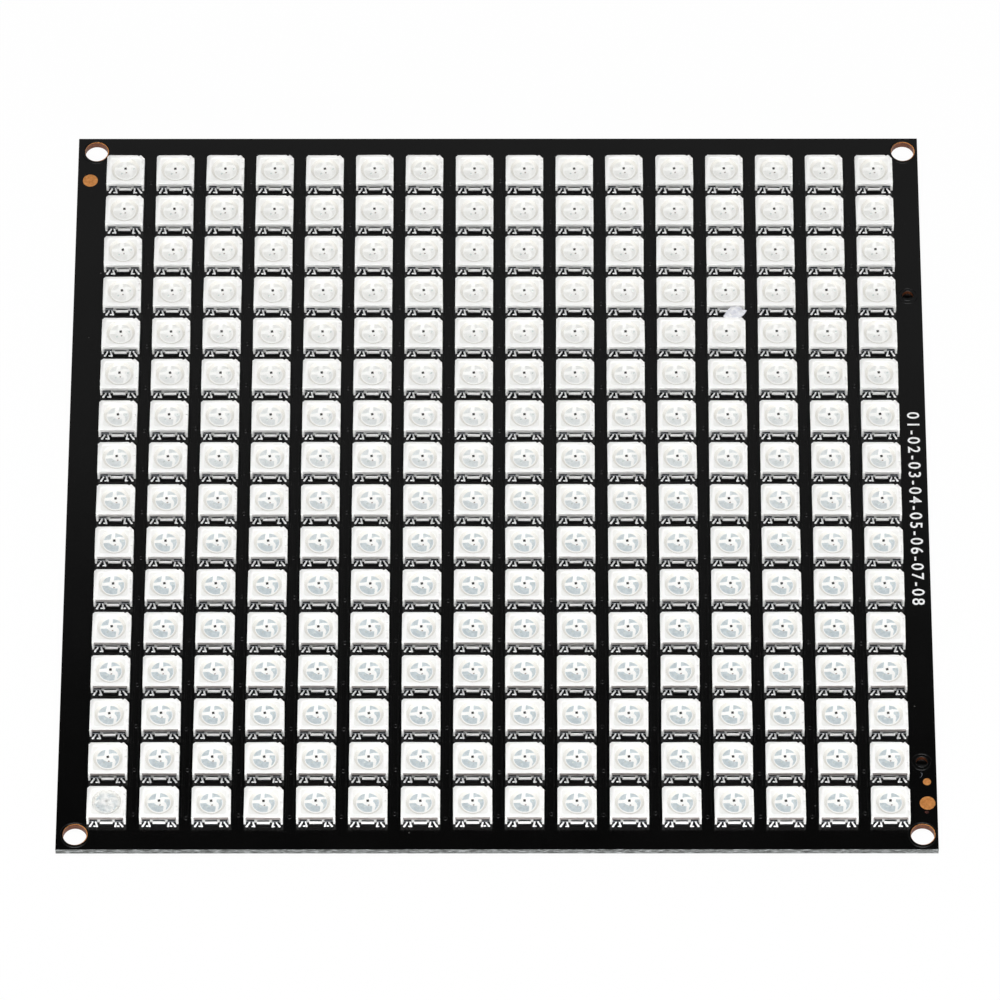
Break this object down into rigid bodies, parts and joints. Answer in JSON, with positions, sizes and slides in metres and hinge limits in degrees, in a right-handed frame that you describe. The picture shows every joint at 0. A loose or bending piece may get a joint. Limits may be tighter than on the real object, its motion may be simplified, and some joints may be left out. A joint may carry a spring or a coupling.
{
  "type": "led dot matrix",
  "caption": "Rigid square panel with a dense square grid of surface-mount colour lamps on a black printed circuit board.",
  "frame": {"origin": "middle of the plane that the panel rests on, under the middle of the board", "axes": "+Z out of the lamp side; +X towards the edge with the tooling holes; +Y towards the edge beside the lamps' large corner cuts"},
  "size_m": [0.115, 0.115, 0.0034],
  "materials": {
    "laminate": "cut glass-fibre edge",
    "solder_mask": "semi-gloss black",
    "copper": "bare copper with an organic coat",
    "ceramic": "matt, with tinned ends",
    "white_resin": "moulded, satin",
    "tin": "bright tin",
    "clear_silicone": "clear, glossy"
  },
  "bodies": {
    "root": {"core": "laminate", "mask_front": "solder_mask", "mask_back": "solder_mask", "hole_platings": "copper", "alignment_marks": "copper", "hole_plugs": "solder_mask", "wire_pads": "copper", "capacitors": "ceramic", "housings_row_01": "white_resin", "housings_row_02": "white_resin", "housings_row_03": "white_resin", "housings_row_04": "white_resin", "housings_row_05": "white_resin", "housings_row_06": "white_resin", "housings_row_07": "white_resin", "housings_row_08": "white_resin", "housings_row_09": "white_resin", "housings_row_10": "white_resin", "housings_row_11": "white_resin", "housings_row_12": "white_resin", "housings_row_13": "white_resin", "housings_row_14": "white_resin", "housings_row_15": "white_resin", "housings_row_16": "white_resin", "leads_row_01": "tin", "leads_row_02": "tin", "leads_row_03": "tin", "leads_row_04": "tin", "leads_row_05": "tin", "leads_row_06": "tin", "leads_row_07": "tin", "leads_row_08": "tin", "leads_row_09": "tin", "leads_row_10": "tin", "leads_row_11": "tin", "leads_row_12": "tin", "leads_row_13": "tin", "leads_row_14": "tin", "leads_row_15": "tin", "leads_row_16": "tin", "fills_row_01": "clear_silicone", "fills_row_02": "clear_silicone", "fills_row_03": "clear_silicone", "fills_row_04": "clear_silicone", "fills_row_05": "clear_silicone", "fills_row_06": "clear_silicone", "fills_row_07": "clear_silicone", "fills_row_08": "clear_silicone", "fills_row_09": "clear_silicone", "fills_row_10": "clear_silicone", "fills_row_11": "clear_silicone", "fills_row_12": "clear_silicone", "fills_row_13": "clear_silicone", "fills_row_14": "clear_silicone", "fills_row_15": "clear_silicone", "fills_row_16": "clear_silicone"}
  },
  "joints": []
}
